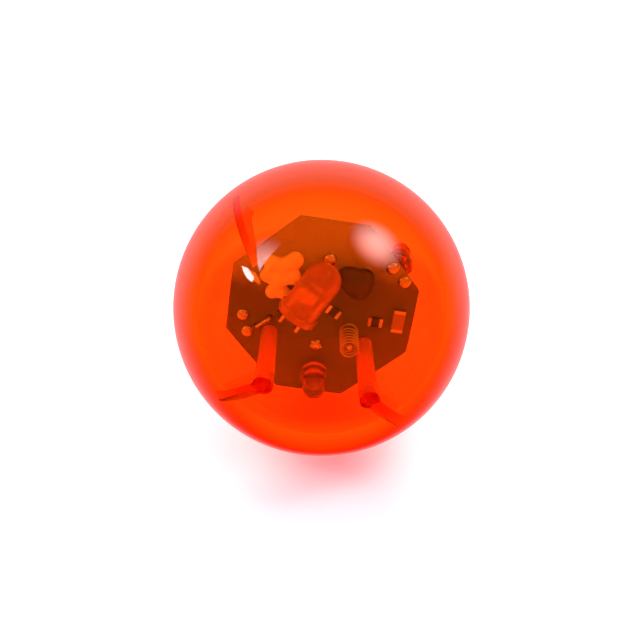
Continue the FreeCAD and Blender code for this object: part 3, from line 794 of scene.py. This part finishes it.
def floor():
    """A white sheet that the ball stands on. To the eye it carries the ball's pink light. Seen through
    the ball it is brightest just before the contact, and has the ball's orange shade behind it."""
    material, tree = new_material("white_sheet")
    path = add(tree, "ShaderNodeLightPath").outputs
    place = add(tree, "ShaderNodeTexCoord").outputs["Object"]
    spot = add(tree, "ShaderNodeSeparateXYZ", {"Vector": place}).outputs
    from_glow = add(tree, "ShaderNodeMath", {0: spot["X"], 1: GLOW_MIDDLE * MM}, operation="SUBTRACT")
    beside_glow = add(tree, "ShaderNodeMath", {0: from_glow.outputs["Value"]}, operation="ABSOLUTE")
    slanting = add(tree, "ShaderNodeMath", {
        0: spot["Y"],
        1: GLOW_SLANT,
        2: beside_glow.outputs["Value"],
    }, operation="MULTIPLY_ADD")
    clear_of_glow = add(tree, "ShaderNodeMapRange", {
        "Value": slanting.outputs["Value"],
        "From Min": GLOW_REACH[0] * MM,
        "From Max": GLOW_REACH[1] * MM,
        "To Min": 0.0,
        "To Max": WHITE_ADDED_TO_EYE,
    }, interpolation_type="SMOOTHSTEP")
    to_eye = add(tree, "ShaderNodeMix", {
        "Factor": clear_of_glow.outputs["Result"],
        "A": linear(GLOW_TO_EYE),
        "B": linear("FFFFFF"),
    }, data_type="RGBA")
    clear_of_contact = oval_fade(tree, place, CONTACT_MIDDLE, CONTACT_RADII, CONTACT_SOFTNESS)
    through_ball = add(tree, "ShaderNodeMix", {
        "Factor": clear_of_contact,
        "A": linear(GLOW_BEFORE_CONTACT),
        "B": linear(GLOW_THROUGH_BALL),
    }, data_type="RGBA")
    tint = add(tree, "ShaderNodeMix", {
        "Factor": path["Is Transmission Ray"],
        "A": to_eye.outputs[2],
        "B": through_ball.outputs[2],
    }, data_type="RGBA")
    seen = add(tree, "ShaderNodeMath", {
        0: path["Is Camera Ray"],
        1: path["Is Transmission Ray"],
    }, operation="MAXIMUM")
    clear_of_shade = oval_fade(tree, place, SHADE_MIDDLE, SHADE_RADII, SHADE_SOFTNESS)
    shade = add(tree, "ShaderNodeMath", {0: 1.0, 1: clear_of_shade}, operation="SUBTRACT")
    shade_through_ball = add(tree, "ShaderNodeMath", {
        0: shade.outputs["Value"],
        1: path["Is Transmission Ray"],
    }, operation="MULTIPLY")
    sheet = add(tree, "ShaderNodeMix", {
        "Factor": shade_through_ball.outputs["Value"],
        "A": linear("FCFCFC"),
        "B": linear(ORANGE_SHADE),
    }, data_type="RGBA")
    surface = add(tree, "ShaderNodeBsdfPrincipled", {
        "Base Color": sheet.outputs[2],
        "Roughness": 0.9,
        "Emission Color": tint.outputs[2],
        "Emission Strength": seen.outputs["Value"],
    })
    add(tree, "ShaderNodeOutputMaterial", {"Surface": surface.outputs["BSDF"]})
    bm = bmesh.new()
    bmesh.ops.create_grid(bm, x_segments=1, y_segments=1, size=FLOOR_HALF_SIZE)
    mesh = bpy.data.meshes.new("floor")
    bm.to_mesh(mesh)
    bm.free()
    mesh.transform(Matrix.Translation((0, 0, FLOOR_HEIGHT * MM)))
    mesh.materials.append(material)
    made = bpy.data.objects.new("floor", mesh)
    made.visible_glossy = False
    bpy.context.scene.collection.objects.link(made)


def direction(azimuth, elevation):
    """From the ball, with azimuth 0 to the front and 90 to the right, in degrees."""
    a, e = math.radians(azimuth), math.radians(elevation)
    return Vector((math.sin(a) * math.cos(e), -math.cos(a) * math.cos(e), math.sin(e)))


def lamp_card(name, corners, brightest, reach, strength):
    """A glowing card with its corners in given directions, brightest at one point and fading out to its
    reach. The camera doesn't see it."""
    material, tree = new_material(name)
    place = add(tree, "ShaderNodeTexCoord").outputs["Object"]
    away = add(tree, "ShaderNodeVectorMath", {0: place}, operation="LENGTH")
    fade = add(tree, "ShaderNodeMapRange", {
        "Value": away.outputs["Value"],
        "From Max": reach,
        "To Min": strength,
        "To Max": 0.0,
    }, interpolation_type="SMOOTHSTEP")
    glow = add(tree, "ShaderNodeEmission", {
        "Color": linear("FFFFFF"),
        "Strength": fade.outputs["Result"],
    })
    add(tree, "ShaderNodeOutputMaterial", {"Surface": glow.outputs["Emission"]})
    heart = direction(*brightest) * CARD_DISTANCE
    bm = bmesh.new()
    bm.faces.new([bm.verts.new(direction(*corner) * CARD_DISTANCE - heart) for corner in corners])
    mesh = bpy.data.meshes.new(name)
    bm.to_mesh(mesh)
    bm.free()
    mesh.materials.append(material)
    made = bpy.data.objects.new(name, mesh)
    made.location = heart
    made.visible_camera = False
    bpy.context.scene.collection.objects.link(made)


def round_corners(azimuth, elevation, radius, sides=32):
    """The corners of a round card, as directions."""
    middle = direction(azimuth, elevation)
    across = middle.orthogonal().normalized()
    corners = []
    for i in range(sides):
        spoke = Matrix.Rotation(math.tau * i / sides, 3, middle) @ across
        way = middle + spoke * math.tan(math.radians(radius))
        flat = math.hypot(way.x, way.y)
        corners.append((math.degrees(math.atan2(way.x, -way.y)), math.degrees(math.atan2(way.z, flat))))
    return corners


def world():
    """White studio walls. In the ball's gloss they show behind it and above it, and the rest is dark.
    Through the ball they are brighter before it than behind it."""
    made = bpy.data.worlds.new("studio")
    made.use_nodes = True
    tree = made.node_tree
    tree.nodes.clear()
    path = add(tree, "ShaderNodeLightPath").outputs
    way = add(tree, "ShaderNodeTexCoord").outputs["Generated"]
    rise = math.radians(VIEW_ELEVATION)
    ahead = add(tree, "ShaderNodeVectorMath", {
        0: way,
        1: (0, math.cos(rise), -math.sin(rise)),
    }, operation="DOT_PRODUCT").outputs["Value"]
    height = add(tree, "ShaderNodeSeparateXYZ", {"Vector": way}).outputs["Z"]
    lit_side = add(tree, "ShaderNodeMath", {
        0: height,
        1: GLOSS_HEIGHT_SHARE,
        2: ahead,
    }, operation="MULTIPLY_ADD")
    behind = add(tree, "ShaderNodeMapRange", {
        "Value": lit_side.outputs["Value"],
        "From Min": GLOSS_BAND[0],
        "From Max": GLOSS_BAND[1],
        "To Min": 0.0,
        "To Max": ROOM_BACK_IN_GLOSS,
    }, interpolation_type="SMOOTHSTEP")
    above_shade = add(tree, "ShaderNodeMapRange", {
        "Value": height,
        "From Min": GLOSS_FLOOR_BAND[0],
        "From Max": GLOSS_FLOOR_BAND[1],
    }, interpolation_type="SMOOTHSTEP")
    in_gloss = add(tree, "ShaderNodeMath", {
        0: behind.outputs["Result"],
        1: above_shade.outputs["Result"],
    }, operation="MULTIPLY")
    through = add(tree, "ShaderNodeMapRange", {
        "Value": ahead,
        "From Min": ROOM_THROUGH_BAND[0],
        "From Max": ROOM_THROUGH_BAND[1],
        "To Min": ROOM_FRONT,
        "To Max": ROOM_THROUGH,
    })
    gloss_or_through = add(tree, "ShaderNodeMix", {
        "Factor": path["Is Transmission Ray"],
        "A": in_gloss.outputs["Value"],
        "B": through.outputs["Result"],
    })
    strength = add(tree, "ShaderNodeMix", {
        "Factor": path["Is Glossy Ray"],
        "A": 1.0,
        "B": gloss_or_through.outputs["Result"],
    })
    light = add(tree, "ShaderNodeBackground", {
        "Color": linear("FFFFFF"),
        "Strength": strength.outputs["Result"],
    })
    add(tree, "ShaderNodeOutputWorld", {"Surface": light.outputs["Background"]})
    bpy.context.scene.world = made


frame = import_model()
bpy.context.scene.view_settings.view_transform = "Standard"

# Light has to pass many clear walls to reach the pieces inside, and blurred gloss would darken them
light_paths = bpy.context.scene.cycles
light_paths.blur_glossy = 0.0
light_paths.max_bounces = 32
light_paths.diffuse_bounces = 16
light_paths.glossy_bounces = 24
light_paths.transmission_bounces = 24

camera()
floor()
round_lamp = round_corners(*ROUND_LAMP_MIDDLE, ROUND_LAMP_RADIUS)
for name, corners, brightest, reach, strength in (
    ("round_soft_lamp", round_lamp, ROUND_LAMP_MIDDLE, 0.212, 7.8),
    ("corner_soft_lamp", WEDGE_CORNERS, (-68.0, 41.0), 0.23, 6.6),
    ("window_lamp", WINDOW_CORNERS, (-73.0, 31.5), 1.0, 16.0),
):
    lamp_card(name, corners, brightest, reach, strength)
world()

clear_orange = moulded_clear_orange()
clear_epoxy = red_tinted_epoxy("red_tinted_epoxy", "C4705A", 0.03, 0.12)
hazy_epoxy = red_tinted_epoxy("hazy_red_epoxy", "FFB89C", 0.16, 0.42)
metals = {
    "tinned_wire": plain("tinned_copper_wire", "C9C6C0", 0.25, 1.0),
    "solder": plain("bright_solder", "C8C8CA", 0.22, 1.0),
    "spring_steel": plain("drawn_spring_steel", "B9B4AC", 0.3, 1.0),
    "contact_bronze": plain("plated_spring_bronze", "C9A77A", 0.35, 1.0),
    "nickel_steel": plain("nickel_plated_steel", "C6C3BC", 0.3, 1.0),
}
finishes = {
    **metals,
    "board_laminate": glass_epoxy_laminate(),
    "clear_lens": clear_epoxy,
    "hot_glue": hot_melt_glue(),
    "black_resin": plain("black_chip_resin", "2A1D14", 0.35),
    "tan_ceramic": plain("fired_tan_ceramic", "A5825A", 0.5),
    "black_ceramic": plain("fired_black_ceramic", "141416", 0.5),
    "sleeve_film": plain("shrunk_black_film", "1C1C1F", 0.35),
    "white_nylon": plain("moulded_white_nylon", "DEDCD6", 0.5),
    "clear_orange": clear_orange,
}
slots = {entry["node"]: entry["material_slot"] for entry in frame["record"]["subparts"]}
for name, node in frame["nodes"].items():
    node.data.materials.clear()
    node.data.materials.append(finishes[slots[name]])
    node.data.shade_smooth()
    node.data.set_sharp_from_angle(angle=math.radians(30))

welded_shell(clear_orange)
for name in LAMPS:
    lamp_lens(name, hazy_epoxy if name == "lying_led" else clear_epoxy)
lumps("glue_lumps", GLUE_DROPS, finishes["hot_glue"], "glue_bead")
lumps("resin_over_chip", RESIN_DROPS, finishes["black_resin"], "chip_blob")
motion_switch(metals["spring_steel"])
